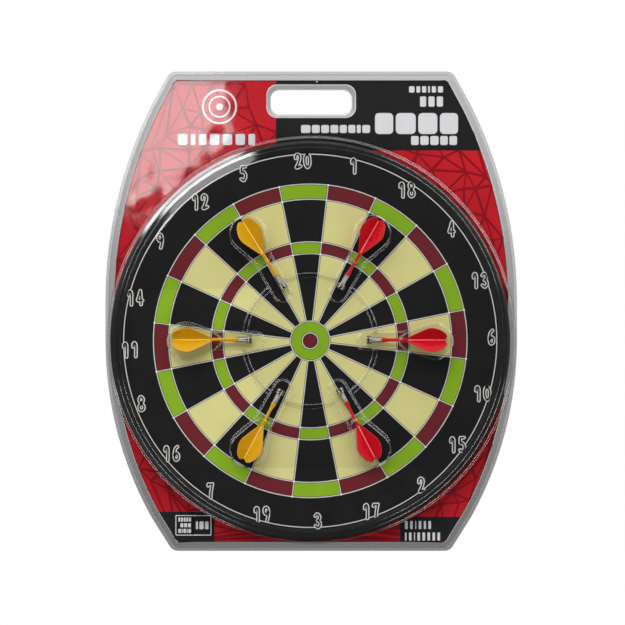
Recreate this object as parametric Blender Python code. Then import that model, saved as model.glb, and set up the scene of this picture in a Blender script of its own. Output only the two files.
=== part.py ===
"""Magnetic dartboard with six darts, in the clear blister pack that it is sold in.

Frame: +Z up, the front faces -Y, and the origin lies behind the bull on the pack's flat back (y = 0).
"Depth" below is the distance forward of that back plane, so a depth of d is y = -d. Metres throughout.
"""

import math

import bmesh
import bpy
from mathutils import Matrix, Vector

# Pack outline: a straight stretch at the widest height, an arc above it, an arc below it, cut flat top and bottom.
PACK_TOP, PACK_BOTTOM = 0.2773, -0.2174
PACK_HALF_WIDTH = 0.2124
SHOULDER_HEIGHT = 0.040
UPPER_SIDE_RADIUS, LOWER_SIDE_RADIUS = 0.455, 0.375
PACK_CORNER_RADIUS = 0.010
FLANGE_WIDTH, FRAME_WIDTH, CARD_INSET = 0.0035, 0.0100, 0.0104

# Depths of the stack, from the back plane forwards.
SHEET = 0.0005
GAP = 0.0003
FLANGE_MIDDLE, BULGE_START = 0.0010, 0.0011
BACK_TRAY_DEPTH = 0.0065
CARD_BACK, CARD_FRONT = 0.0068, 0.0073
FRONT_FLANGE_BACK = 0.0008
PLATEAU_DEPTH = 0.0081
PAD_BACK = 0.0076
COVER_BACK, COVER_FRONT = 0.0110, 0.0133
CORE_BACK, CORE_FRONT = 0.0136, 0.0261
STEEL_BACK, STEEL_FRONT = 0.0264, 0.0269
FACE_BACK, FACE_FRONT = 0.0272, 0.0275
RIM_FRONT = 0.0290
BULGE_DEPTH = 0.0298
CHANNEL_DEPTH, POCKET_DEPTH = 0.0374, 0.0488

# How far cutters run past what they cut, how far walls kept from a cut run past it, and how far pockets are rooted.
CUT_PAST, WALL_PAST, HOLE_PAST, ROOT = 0.003, 0.004, 0.001, 0.001

# Board.
BOARD_X = -0.001
BOARD_TURN = math.radians(2.4)
BOARD_RADIUS = 0.2025
RIM_INNER_RADIUS, LIP_INNER_RADIUS, LEDGE_RADIUS = 0.1932, 0.1905, 0.1998
RIM_NOSE = (
    (0.2025, 0.0245),
    (0.2017, 0.0270),
    (0.1996, 0.0285),
    (0.1970, RIM_FRONT),
    (0.1940, 0.0287),
    (0.1912, 0.0284),
)
DISC_RADIUS = 0.1927
COVER_RADIUS = 0.1994
BIG_STEPS, SMALL_STEPS = 72, 16

# Back fittings of the board.
SCREW_COUNT, SCREW_CIRCLE = 6, 0.1966
SCREW_HEAD_RADIUS, SCREW_HEAD_HEIGHT, SCREW_SHANK_RADIUS, SCREW_TIP_DEPTH = 0.0030, 0.0016, 0.0012, 0.0200
PAD_COUNT, PAD_CIRCLE, PAD_RADIUS = 4, 0.165, 0.007
HANGER_HEIGHT, HANGER_AXIS_DEPTH = 0.150, 0.0092
BARREL_OUTER_RADIUS, BARREL_BORE_RADIUS, RING_WIRE_RADIUS = 0.0016, 0.00115, 0.0010
PLATE_BACK, PLATE_FRONT = 0.01025, 0.01070
PLATE_WIDTH, ROLL_WIDTH, PLATE_TOP = 0.011, 0.0108, 0.021
RING_HALF_WIDTH, RING_SIDE_LENGTH = 0.009, 0.008
RIVET_HEIGHTS = (0.0065, 0.0155)
RIVET_HEAD_RADIUS, RIVET_HEAD_HEIGHT, RIVET_SHANK_RADIUS = 0.0024, 0.0010, 0.0012
HOLE_CLEARANCE = 0.0003

# Handle slot of the pack, at the plateau and at the back plane.
SLOT_HEIGHT = 0.2457
SLOT_FRONT, SLOT_BACK = (0.0895, 0.0320), (0.0831, 0.0245)
SLOT_CORNER_RADIUS = 0.009

# Round stiffening boss of the back tray, pressed back to the back plane.
BOSS_RADIUS, BOSS_DRAFT = 0.060, 0.004

# Bulge over the board and the six dart pockets, whose centre lines are radial and 60 degrees apart.
BULGE_X, BULGE_Z, BULGE_TOP_RADIUS, DRAFT = 0.0005, 0.0010, 0.2045, 0.17
POCKET_CENTRE, POCKET_RADIUS, POCKET_NECK, POCKET_DRAFT = 0.1245, 0.0179, 0.098, 0.05
CHANNEL_START, CHANNEL_RADIUS = 0.0555, 0.0090

# Dart, along its axis from the magnet's face.
MAGNET_RADIUS, MAGNET_LENGTH = 0.0042, 0.0032
CUP_END, BARREL_END, BARREL_RADIUS, SOCKET_RADIUS = 0.0052, 0.0152, 0.0029, 0.0016
NECK_START, NECK_END, SOCKET_END, EDGE_BREAK = 0.0054, 0.0060, 0.0087, 0.0003
COLLAR_END, FLIGHT_START, CORE_END = 0.0200, 0.0390, 0.0770
STEM_RADIUS, CORE_TAIL_RADIUS, FILLET_LENGTH = 0.0016, 0.0008, 0.0030
FIN_THICKNESS, FIN_SPREAD = 0.0007, math.radians(40)
FIN_EDGE = (
    (0.0385, 0.0012),
    (0.0515, 0.0092),
    (0.0640, 0.0155),
    (0.0735, 0.0127),
    (0.0794, 0.0072),
    (0.0784, 0.0028),
    (0.0765, 0.0009),
)
DART_PITCH = math.radians(5.15)

# How each dart lies: pocket angle in degrees, tip's distance along and across the pocket, and turn in degrees.
DARTS = (
    ("red", 0, 0.0568, 0.0011, 0.0),
    ("red", 60, 0.0605, 0.0004, 0.4),
    ("yellow", 120, 0.0586, -0.0038, 1.6),
    ("yellow", 180, 0.0585, -0.0014, 0.0),
    ("yellow", 240, 0.0570, -0.0007, 1.6),
    ("red", 300, 0.0560, 0.0013, -2.8),
)

MATERIALS = {
    "clear_pvc": ((0.92, 0.94, 0.95), 0.08, 0.0),
    "printed_card": ((0.55, 0.03, 0.04), 0.45, 0.0),
    "black_plastic": ((0.012, 0.012, 0.013), 0.35, 0.0),
    "face_film": ((0.60, 0.58, 0.26), 0.50, 0.0),
    "steel": ((0.62, 0.63, 0.65), 0.35, 1.0),
    "fibreboard": ((0.36, 0.24, 0.14), 0.85, 0.0),
    "rubber": ((0.03, 0.03, 0.03), 0.80, 0.0),
    "nickel": ((0.75, 0.75, 0.77), 0.15, 1.0),
    "yellow_plastic": ((0.72, 0.42, 0.0), 0.30, 0.0),
    "red_plastic": ((0.62, 0.0, 0.015), 0.30, 0.0),
}


def front(x, z, depth):
    """A point of the pack or board: x to the right, z up, depth forward of the back plane."""
    return Vector((x, -depth, z))


def along(across, height, distance):
    """A point of a dart in its own frame: X runs from the magnet's face to the tail."""
    return Vector((distance, across, height))


def make_material(name):
    colour, roughness, metallic = MATERIALS[name]
    material = bpy.data.materials.new(name)
    material.use_nodes = True
    shader = material.node_tree.nodes["Principled BSDF"]
    shader.inputs["Base Color"].default_value = (*colour, 1.0)
    shader.inputs["Roughness"].default_value = roughness
    shader.inputs["Metallic"].default_value = metallic
    return material


def material_named(name):
    return bpy.data.materials.get(name) or make_material(name)


def add_object(name, data, material, parent=None):
    piece = bpy.data.objects.new(name, data)
    bpy.context.scene.collection.objects.link(piece)
    if not data.materials:
        data.materials.append(material_named(material))
    piece.parent = parent
    return piece


def finished_mesh(name, work):
    """The mesh of a bmesh, with its faces outwards and shaded smooth except at real edges."""
    bmesh.ops.recalc_face_normals(work, faces=work.faces)
    mesh = bpy.data.meshes.new(name)
    work.to_mesh(mesh)
    work.free()
    mesh.shade_smooth()
    mesh.set_sharp_from_angle(angle=math.radians(30))
    return mesh


def loft_mesh(name, sections):
    """A closed solid through outlines of equal length, each at its own depth."""
    work = bmesh.new()
    rings = [[work.verts.new(front(x, z, depth)) for x, z in outline] for outline, depth in sections]
    for near, far in zip(rings, rings[1:]):
        for i in range(len(near)):
            work.faces.new((near[i - 1], near[i], far[i], far[i - 1]))
    work.faces.new(rings[0])
    work.faces.new(rings[-1])
    return finished_mesh(name, work)


def lathe_mesh(name, profile, steps, place):
    """A turned solid from (radius, height) points: a closed ring, or a body whose ends are at radius 0."""
    work = bmesh.new()
    angles = [math.tau * i / steps for i in range(steps)]
    columns = []
    for radius, height in profile:
        if radius:
            column = [work.verts.new(place(radius * math.cos(a), radius * math.sin(a), height)) for a in angles]
        else:
            column = [work.verts.new(place(0.0, 0.0, height))] * steps
        columns.append(column)
    following = columns[1:] + (columns[:1] if profile[0][0] else [])
    for near, far in zip(columns, following):
        for i in range(steps):
            corners = dict.fromkeys((near[i - 1], near[i], far[i], far[i - 1]))
            work.faces.new(list(corners))
    return finished_mesh(name, work)


def cylinder_mesh(name, x, z, radius, back, front_depth, steps=SMALL_STEPS):
    return loft_mesh(name, [(circle(radius, steps, x, z), back), (circle(radius, steps, x, z), front_depth)])


def disc_mesh(name, radius, back, front_depth):
    return cylinder_mesh(name, 0, 0, radius, back, front_depth, BIG_STEPS)


def circle(radius, steps, x=0.0, z=0.0):
    angles = [math.tau * (i + 0.5) / steps for i in range(steps)]
    return [(x + radius * math.cos(a), z + radius * math.sin(a)) for a in angles]


def rounded_rectangle(width, height, radius, x=0.0, z=0.0, steps=6):
    points = []
    for quarter, (side, up) in enumerate(((1, 1), (-1, 1), (-1, -1), (1, -1))):
        centre_x, centre_z = x + side * (width / 2 - radius), z + up * (height / 2 - radius)
        for i in range(steps + 1):
            angle = math.pi / 2 * (quarter + i / steps)
            points.append((centre_x + radius * math.cos(angle), centre_z + radius * math.sin(angle)))
    return points


def tapered_capsule(near, near_radius, far, far_radius, angle, steps=10):
    """The outline round two circles on a radial line: a teardrop, or a capsule where the radii are equal."""
    lean = math.asin((far_radius - near_radius) / (far - near))
    points = []
    for distance, radius, start, end in (
        (far, far_radius, -math.pi / 2 - lean, math.pi / 2 + lean),
        (near, near_radius, math.pi / 2 + lean, 3 * math.pi / 2 - lean),
    ):
        for i in range(steps + 1):
            turn = start + (end - start) * i / steps
            u, v = distance + radius * math.cos(turn), radius * math.sin(turn)
            points.append(
                (BOARD_X + u * math.cos(angle) - v * math.sin(angle), u * math.sin(angle) + v * math.cos(angle))
            )
    return points


def side_at(z, inset):
    """Half the pack's width at a height, moved inwards by inset."""
    if z > SHOULDER_HEIGHT:
        rise, radius = z - SHOULDER_HEIGHT, UPPER_SIDE_RADIUS
    elif z < 0:
        rise, radius = -z, LOWER_SIDE_RADIUS
    else:
        return PACK_HALF_WIDTH - inset
    return PACK_HALF_WIDTH - radius + math.sqrt((radius - inset) ** 2 - rise**2)


def corner_arc(corner, before, after, radius, steps=4):
    """Points of the arc that rounds a corner between two neighbouring points."""
    corner, before, after = Vector(corner), Vector(before), Vector(after)
    arm_in, arm_out = (before - corner).normalized(), (after - corner).normalized()
    half = arm_in.angle(arm_out) / 2
    centre = corner + (arm_in + arm_out).normalized() * radius / math.sin(half)
    start = (corner + arm_in * radius / math.tan(half) - centre).normalized()
    end = (corner + arm_out * radius / math.tan(half) - centre).normalized()
    return [tuple(centre + start.slerp(end, i / steps) * radius) for i in range(steps + 1)]


def pack_outline(inset, side_steps=22):
    """The pack's outline, moved inwards by inset, with corners that sharpen half as fast."""
    top, bottom = PACK_TOP - inset, PACK_BOTTOM + inset
    corner_radius = PACK_CORNER_RADIUS - inset / 2
    heights = [bottom + (top - bottom) * i / side_steps for i in range(side_steps + 1)]
    right = [(side_at(z, inset), z) for z in heights]
    left = [(-x, z) for x, z in reversed(right)]
    right_bottom, right_top, left_top, left_bottom = right[0], right[-1], left[0], left[-1]
    loop = corner_arc(right_bottom, left_bottom, right[1], corner_radius) + right[2:-2]
    loop += corner_arc(right_top, right[-2], left_top, corner_radius)
    loop += corner_arc(left_top, right_top, left[1], corner_radius) + left[2:-2]
    loop += corner_arc(left_bottom, left[-2], right_bottom, corner_radius)
    return loop


def slot_outline(depth, outset=0.0):
    """The slot's funnel at a depth: it narrows from the plateau to the back plane."""
    share = depth / PLATEAU_DEPTH
    width, height = (back + (fore - back) * share for fore, back in zip(SLOT_FRONT, SLOT_BACK))
    return rounded_rectangle(
        width + 2 * outset, height + 2 * outset, SLOT_CORNER_RADIUS + outset, 0.0, SLOT_HEIGHT
    )


def slot_funnel(name, back, front_depth, outset):
    """A solid as wide as the slot, plus outset, between two depths."""
    return loft_mesh(name, [(slot_outline(back, outset), back), (slot_outline(front_depth, outset), front_depth)])


def boolean(target, operation, name, mesh):
    """Joins a helper solid to the target, or cuts it away, and returns the helper."""
    helper = add_object(name, mesh, "clear_pvc", target.parent)
    helper.hide_render = True
    helper.display_type = "WIRE"
    step = target.modifiers.new(name, "BOOLEAN")
    step.operation = operation
    step.solver = "EXACT"
    step.object = helper
    return helper


def cone_section(top_radius, top_depth, draft, depth):
    return circle(top_radius + (top_depth - depth) * draft, BIG_STEPS, BULGE_X, BULGE_Z), depth


def tray_sections(edge_depth, start_depth):
    """The sloping frame of a shell: its plateau at edge_depth, followed down the slope to start_depth."""
    slope = (FRAME_WIDTH - FLANGE_WIDTH) / (PLATEAU_DEPTH - SHEET - FRONT_FLANGE_BACK)
    foot_inset = FRAME_WIDTH - (edge_depth - start_depth) * slope
    return [(pack_outline(foot_inset), start_depth), (pack_outline(FRAME_WIDTH), edge_depth)]


def pocket_forms(back, thinner):
    """For each dart pocket, the meshes of its flight bulge and of its narrow channel, thinner by a wall."""
    for number in range(len(DARTS)):
        angle = math.radians(60 * number)
        for label, near, near_radius, far, far_radius, top in (
            ("flight", POCKET_NECK, CHANNEL_RADIUS, POCKET_CENTRE, POCKET_RADIUS, POCKET_DEPTH),
            ("channel", CHANNEL_START, CHANNEL_RADIUS, POCKET_NECK, CHANNEL_RADIUS, CHANNEL_DEPTH),
        ):
            sections = []
            for depth in (back, top - thinner):
                wider = (top - thinner - depth) * POCKET_DRAFT - thinner
                sections.append((tapered_capsule(near, near_radius + wider, far, far_radius + wider, angle), depth))
            yield f"{label}_{number + 1}", loft_mesh(label, sections)


def make_blister_front():
    """The clear front shell: flange, sloping frame, bulge over the board, dart pockets and slot wall."""
    flange = [(pack_outline(0), FRONT_FLANGE_BACK), (pack_outline(0), FRONT_FLANGE_BACK + SHEET)]
    shell = add_object("blister_front", loft_mesh("blister_front", flange), "clear_pvc")
    boolean(shell, "UNION", "frame_outer", loft_mesh("frame", tray_sections(PLATEAU_DEPTH, FLANGE_MIDDLE)))
    bulge = [cone_section(BULGE_TOP_RADIUS, BULGE_DEPTH, DRAFT, depth) for depth in (BULGE_START, BULGE_DEPTH)]
    boolean(shell, "UNION", "bulge_outer", loft_mesh("bulge", bulge))
    for name, mesh in pocket_forms(BULGE_DEPTH - ROOT, 0.0):
        boolean(shell, "UNION", f"{name}_outer", mesh)
    inside = loft_mesh("frame", tray_sections(PLATEAU_DEPTH - SHEET, -CUT_PAST))
    inside = boolean(shell, "DIFFERENCE", "frame_inner", inside)
    wall = slot_funnel("slot_wall", -WALL_PAST, PLATEAU_DEPTH + WALL_PAST, SHEET)
    boolean(inside, "DIFFERENCE", "slot_wall_front", wall)
    inner_top = BULGE_DEPTH - SHEET
    bulge = [cone_section(BULGE_TOP_RADIUS - SHEET, inner_top, DRAFT, depth) for depth in (-CUT_PAST, inner_top)]
    boolean(shell, "DIFFERENCE", "bulge_inner", loft_mesh("bulge", bulge))
    for name, mesh in pocket_forms(BULGE_DEPTH - 2 * ROOT, SHEET):
        boolean(shell, "DIFFERENCE", f"{name}_inner", mesh)
    slot = slot_funnel("slot", -CUT_PAST, PLATEAU_DEPTH + CUT_PAST, 0.0)
    boolean(shell, "DIFFERENCE", "slot_front", slot)


def make_blister_back():
    """The clear back shell: it nests in the front shell and holds the card against it."""
    flange = [(pack_outline(0), 0.0), (pack_outline(0), SHEET)]
    shell = add_object("blister_back", loft_mesh("blister_back", flange), "clear_pvc")
    boolean(shell, "UNION", "tray_outer", loft_mesh("tray", tray_sections(BACK_TRAY_DEPTH, SHEET / 2)))
    inside = loft_mesh("tray", tray_sections(BACK_TRAY_DEPTH - SHEET, -CUT_PAST))
    inside = boolean(shell, "DIFFERENCE", "tray_inner", inside)
    clear_of_front = SHEET + GAP
    wall = slot_funnel("slot_wall", -WALL_PAST, BACK_TRAY_DEPTH + WALL_PAST, clear_of_front + SHEET)
    boolean(inside, "DIFFERENCE", "slot_wall_back", wall)
    floor, mouth = BOSS_RADIUS, BOSS_RADIUS + BOSS_DRAFT
    boss = ((floor, -WALL_PAST), (floor, 0.0), (mouth, BACK_TRAY_DEPTH + ROOT))
    well = ((floor - SHEET, SHEET), (mouth - SHEET, BACK_TRAY_DEPTH + ROOT + SHEET))
    for target, name, steps in ((inside, "boss_outer", boss), (shell, "boss_well", well)):
        sections = [(circle(radius, BIG_STEPS), depth) for radius, depth in steps]
        boolean(target, "DIFFERENCE", name, loft_mesh(name, sections))
    slot = slot_funnel("slot", -CUT_PAST, BACK_TRAY_DEPTH + CUT_PAST, clear_of_front)
    boolean(shell, "DIFFERENCE", "slot_back", slot)


def make_card():
    outline = pack_outline(CARD_INSET)
    card = add_object("card", loft_mesh("card", [(outline, CARD_BACK), (outline, CARD_FRONT)]), "printed_card")
    slot = slot_funnel("slot", CARD_BACK - CUT_PAST, CARD_FRONT + CUT_PAST, 2 * (SHEET + GAP))
    boolean(card, "DIFFERENCE", "card_slot", slot)


def board_point(radius, angle):
    return radius * math.cos(angle), radius * math.sin(angle)


def make_rim(board):
    """The moulded ring round the board: rounded front, lip over the face and ledge for the back cover."""
    profile = [
        (BOARD_RADIUS, COVER_BACK),
        *RIM_NOSE,
        (LIP_INNER_RADIUS, FACE_FRONT + GAP),
        (RIM_INNER_RADIUS, FACE_FRONT + GAP),
        (RIM_INNER_RADIUS, CORE_BACK),
        (LEDGE_RADIUS, CORE_BACK),
        (LEDGE_RADIUS, COVER_BACK),
    ]
    return add_object("rim", lathe_mesh("rim", profile, BIG_STEPS, front), "black_plastic", board)


def make_back_screws(board, rim, cover):
    """Pan-head screws that hold the back cover to the rim, in clearance and pilot holes."""
    head_front = COVER_BACK - GAP
    head_back = head_front - SCREW_HEAD_HEIGHT
    for number in range(SCREW_COUNT):
        x, z = board_point(SCREW_CIRCLE, math.tau * (number + 0.5) / SCREW_COUNT)
        profile = [
            (0, head_back),
            (0.6 * SCREW_HEAD_RADIUS, head_back),
            (SCREW_HEAD_RADIUS, head_back + 0.4 * SCREW_HEAD_HEIGHT),
            (SCREW_HEAD_RADIUS, head_front),
            (SCREW_SHANK_RADIUS, head_front),
            (SCREW_SHANK_RADIUS, SCREW_TIP_DEPTH - SCREW_SHANK_RADIUS),
            (0, SCREW_TIP_DEPTH),
        ]
        mesh = lathe_mesh("screw", profile, SMALL_STEPS, front)
        add_object(f"back_screw_{number + 1}", mesh, "steel", board).location = (x, 0, z)
        hole_radius = SCREW_SHANK_RADIUS + HOLE_CLEARANCE
        hole = cylinder_mesh("hole", x, z, hole_radius, COVER_BACK - HOLE_PAST, SCREW_TIP_DEPTH + HOLE_PAST)
        boolean(cover, "DIFFERENCE", f"cover_hole_{number + 1}", hole)
        boolean(rim, "DIFFERENCE", f"pilot_hole_{number + 1}", hole)


def make_wall_pads(board):
    for number in range(PAD_COUNT):
        x, z = board_point(PAD_CIRCLE, math.tau * (number + 0.5) / PAD_COUNT)
        mesh = cylinder_mesh(f"wall_pad_{number + 1}", x, z, PAD_RADIUS, PAD_BACK, COVER_BACK - GAP, 24)
        add_object(f"wall_pad_{number + 1}", mesh, "rubber", board)


def crosswise(x_half, outline, name):
    """A solid of an outline of (height, depth) points, run along X from -x_half to x_half."""
    work = bmesh.new()
    ends = [[work.verts.new(front(x, z, depth)) for z, depth in outline] for x in (-x_half, x_half)]
    for i in range(len(outline)):
        work.faces.new((ends[0][i - 1], ends[0][i], ends[1][i], ends[1][i - 1]))
    work.faces.new(ends[0])
    work.faces.new(ends[1])
    return finished_mesh(name, work)


def make_hanger(board, cover):
    """A strap riveted to the back cover, rolled into a barrel for the bar of the D-ring."""
    top = HANGER_HEIGHT + PLATE_TOP
    strap_outline = [
        (HANGER_HEIGHT, PLATE_BACK),
        (top, PLATE_BACK),
        (top, PLATE_FRONT),
        (HANGER_HEIGHT, PLATE_FRONT),
    ]
    plate = add_object("hanger_plate", crosswise(PLATE_WIDTH / 2, strap_outline, "strap"), "steel", board)
    roll = circle(BARREL_OUTER_RADIUS, SMALL_STEPS, HANGER_HEIGHT, HANGER_AXIS_DEPTH)
    boolean(plate, "UNION", "strap_roll", crosswise(ROLL_WIDTH / 2, roll, "roll"))
    bore = circle(BARREL_BORE_RADIUS, SMALL_STEPS, HANGER_HEIGHT, HANGER_AXIS_DEPTH)
    boolean(plate, "DIFFERENCE", "strap_bore", crosswise(PLATE_WIDTH, bore, "bore"))
    head_front = PLATE_BACK - GAP
    for number, height in enumerate(RIVET_HEIGHTS):
        profile = [
            (0, head_front - RIVET_HEAD_HEIGHT),
            (0.55 * RIVET_HEAD_RADIUS, head_front - 0.9 * RIVET_HEAD_HEIGHT),
            (RIVET_HEAD_RADIUS, head_front),
            (RIVET_SHANK_RADIUS, head_front),
            (RIVET_SHANK_RADIUS, COVER_FRONT),
            (0, COVER_FRONT),
        ]
        mesh = lathe_mesh("rivet", profile, SMALL_STEPS, front)
        rivet = add_object(f"hanger_rivet_{number + 1}", mesh, "steel", board)
        rivet.location = (0, 0, HANGER_HEIGHT + height)
        hole_radius, middle = RIVET_SHANK_RADIUS + HOLE_CLEARANCE, HANGER_HEIGHT + height
        hole = cylinder_mesh("hole", 0, middle, hole_radius, PLATE_BACK - HOLE_PAST, COVER_FRONT + HOLE_PAST)
        boolean(plate, "DIFFERENCE", f"plate_hole_{number + 1}", hole)
        boolean(cover, "DIFFERENCE", f"rivet_hole_{number + 1}", hole)


def make_hanger_ring(board):
    """The D-ring, hanging down from its hinge bar, with its origin on the hinge axis."""
    half = RING_HALF_WIDTH
    points = [(-half, 0.0), (half, 0.0)]
    for i in range(13):
        angle = -math.pi * i / 12
        points.append((half * math.cos(angle), half * math.sin(angle) - RING_SIDE_LENGTH))
    curve = bpy.data.curves.new("hanger_ring", "CURVE")
    curve.dimensions = "3D"
    curve.bevel_depth = RING_WIRE_RADIUS
    curve.bevel_resolution = 2
    wire = curve.splines.new("POLY")
    wire.points.add(len(points) - 1)
    wire.use_cyclic_u = True
    for point, (x, z) in zip(wire.points, points):
        point.co = (x, 0, z, 1)
    ring = add_object("hanger_ring", curve, "nickel", board)
    ring.location = front(0, HANGER_HEIGHT, HANGER_AXIS_DEPTH)


def make_board():
    board = bpy.data.objects.new("board", None)
    bpy.context.scene.collection.objects.link(board)
    board.location.x = BOARD_X
    board.rotation_euler.y = -BOARD_TURN
    rim = make_rim(board)
    add_object("face_print", disc_mesh("face_print", DISC_RADIUS, FACE_BACK, FACE_FRONT), "face_film", board)
    add_object("steel_sheet", disc_mesh("steel_sheet", DISC_RADIUS, STEEL_BACK, STEEL_FRONT), "steel", board)
    add_object("core_board", disc_mesh("core_board", DISC_RADIUS, CORE_BACK, CORE_FRONT), "fibreboard", board)
    cover_mesh = disc_mesh("back_cover", COVER_RADIUS, COVER_BACK, COVER_FRONT)
    cover = add_object("back_cover", cover_mesh, "fibreboard", board)
    make_back_screws(board, rim, cover)
    make_wall_pads(board)
    make_hanger(board, cover)
    make_hanger_ring(board)


def magnet_mesh():
    profile = [
        (0, 0),
        (MAGNET_RADIUS - EDGE_BREAK, 0),
        (MAGNET_RADIUS, EDGE_BREAK),
        (MAGNET_RADIUS, MAGNET_LENGTH),
        (0, MAGNET_LENGTH),
    ]
    return lathe_mesh("magnet", profile, SMALL_STEPS, along)


def barrel_mesh():
    """The metal barrel: a cup that the magnet is glued to, a neck groove and a socket for the shaft."""
    start = MAGNET_LENGTH + GAP
    profile = [
        (0, start),
        (MAGNET_RADIUS, start),
        (MAGNET_RADIUS, CUP_END - EDGE_BREAK),
        (MAGNET_RADIUS - 2 * EDGE_BREAK, CUP_END),
        (BARREL_RADIUS - EDGE_BREAK, NECK_START),
        (BARREL_RADIUS - EDGE_BREAK, NECK_END),
        (BARREL_RADIUS, NECK_END + EDGE_BREAK),
        (BARREL_RADIUS, BARREL_END - EDGE_BREAK),
        (BARREL_RADIUS - EDGE_BREAK, BARREL_END),
        (SOCKET_RADIUS, BARREL_END),
        (SOCKET_RADIUS, SOCKET_END),
        (0, SOCKET_END),
    ]
    return lathe_mesh("barrel", profile, SMALL_STEPS, along)


def smooth_through(points, steps=3):
    """A Catmull-Rom curve through points, with its own ends repeated."""
    knots = [Vector(points[0])] + [Vector(p) for p in points] + [Vector(points[-1])]
    curve = []
    for a, b, c, d in zip(knots, knots[1:], knots[2:], knots[3:]):
        for i in range(steps):
            t = i / steps
            curve.append(
                0.5 * (2 * b + (c - a) * t + (2 * a - 5 * b + 4 * c - d) * t**2 + (3 * b - a - 3 * c + d) * t**3)
            )
    return curve + [knots[-1]]


def fin_pair(name, tilt):
    """A flat plate with both edges of two opposite fins, turned about the dart's axis."""
    edge = smooth_through(FIN_EDGE)
    outline = [(point.x, point.y) for point in edge] + [(point.x, -point.y) for point in reversed(edge)]
    work = bmesh.new()
    half = FIN_THICKNESS / 2
    sides = [[work.verts.new(along(y, side, x)) for x, y in outline] for side in (-half, half)]
    for i in range(len(outline)):
        work.faces.new((sides[0][i - 1], sides[0][i], sides[1][i], sides[1][i - 1]))
    work.faces.new(sides[0])
    work.faces.new(sides[1])
    bmesh.ops.rotate(work, verts=work.verts, matrix=Matrix.Rotation(tilt, 3, "X"))
    return finished_mesh(name, work)


def shaft_mesh():
    """The one-piece moulded shaft and flight: spigot, collar, tapering stem and core, and four fins."""
    spigot = SOCKET_RADIUS - GAP
    profile = [
        (0, SOCKET_END + GAP),
        (spigot, SOCKET_END + GAP),
        (spigot, BARREL_END + GAP),
        (BARREL_RADIUS - EDGE_BREAK, BARREL_END + GAP),
        (STEM_RADIUS + EDGE_BREAK, COLLAR_END),
        (STEM_RADIUS, COLLAR_END + FILLET_LENGTH),
        (STEM_RADIUS, FLIGHT_START + FILLET_LENGTH / 2),
        (STEM_RADIUS - EDGE_BREAK, FLIGHT_START + FILLET_LENGTH),
        (CORE_TAIL_RADIUS, CORE_END),
        (0, CORE_END),
    ]
    core = add_object("shaft_core", lathe_mesh("shaft", profile, 12, along), "clear_pvc")
    helpers = [
        boolean(core, "UNION", f"fins_{label}", fin_pair(label, tilt))
        for label, tilt in (("up", FIN_SPREAD), ("down", -FIN_SPREAD))
    ]
    evaluated = core.evaluated_get(bpy.context.evaluated_depsgraph_get())
    mesh = bpy.data.meshes.new_from_object(evaluated)
    mesh.name = "dart_shaft"
    mesh.materials.clear()
    for helper in [core, *helpers]:
        bpy.data.objects.remove(helper)
    return mesh


def make_dart(number, lay, meshes):
    """One dart lying in its pocket, with its magnet and two fins on the board's face."""
    colour, pocket, tip_along, tip_across, turn = lay
    pocket_angle, angle = math.radians(pocket), math.radians(pocket + turn)
    tip = Vector((tip_along, tip_across))
    tip.rotate(Matrix.Rotation(pocket_angle, 2))
    tip_depth = FACE_FRONT + GAP + MAGNET_RADIUS * math.cos(DART_PITCH)
    lie = Matrix(
        (
            (math.cos(angle), -math.sin(angle), 0, BOARD_X + tip.x),
            (0, 0, -1, -tip_depth),
            (math.sin(angle), math.cos(angle), 0, tip.y),
            (0, 0, 0, 1),
        )
    )
    dart = bpy.data.objects.new(f"dart_{number}", None)
    bpy.context.scene.collection.objects.link(dart)
    dart.matrix_world = lie @ Matrix.Rotation(-DART_PITCH, 4, "Y")
    materials = {"magnet": "nickel", "barrel": "nickel", "shaft": f"{colour}_plastic"}
    for part, material in materials.items():
        add_object(f"dart_{part}_{number}", meshes[part].copy(), material, dart)


def make_darts():
    meshes = {"magnet": magnet_mesh(), "barrel": barrel_mesh(), "shaft": shaft_mesh()}
    for number, lay in enumerate(DARTS, start=1):
        make_dart(number, lay, meshes)
    for mesh in meshes.values():
        bpy.data.meshes.remove(mesh)


for old in list(bpy.data.objects):
    bpy.data.objects.remove(old)
make_blister_back()
make_card()
make_board()
make_darts()
make_blister_front()
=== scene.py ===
"""Looks of the magnetic dartboard with six darts in its clear blister pack.

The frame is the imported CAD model: metres, +Z up, front towards -Y, back plane of the pack at y = 0.
"Depth" is the distance forward of that back plane, so a depth of d is y = -d.
"""

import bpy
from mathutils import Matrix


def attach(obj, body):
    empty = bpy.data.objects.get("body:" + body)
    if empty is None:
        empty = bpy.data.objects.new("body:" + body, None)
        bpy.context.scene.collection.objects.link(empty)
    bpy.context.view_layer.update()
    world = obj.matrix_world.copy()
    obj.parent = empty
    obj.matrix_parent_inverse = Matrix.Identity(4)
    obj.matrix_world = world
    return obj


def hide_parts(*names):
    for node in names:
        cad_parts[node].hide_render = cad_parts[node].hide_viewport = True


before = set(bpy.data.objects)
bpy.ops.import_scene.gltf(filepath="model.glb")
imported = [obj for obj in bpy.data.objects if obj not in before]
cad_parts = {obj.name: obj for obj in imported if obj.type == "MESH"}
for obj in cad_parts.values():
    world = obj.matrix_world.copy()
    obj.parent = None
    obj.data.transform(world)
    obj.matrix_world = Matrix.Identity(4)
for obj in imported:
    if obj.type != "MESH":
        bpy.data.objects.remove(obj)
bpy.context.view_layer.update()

import math
import random

import bpy
from mathutils import Matrix, Vector, geometry

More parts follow.
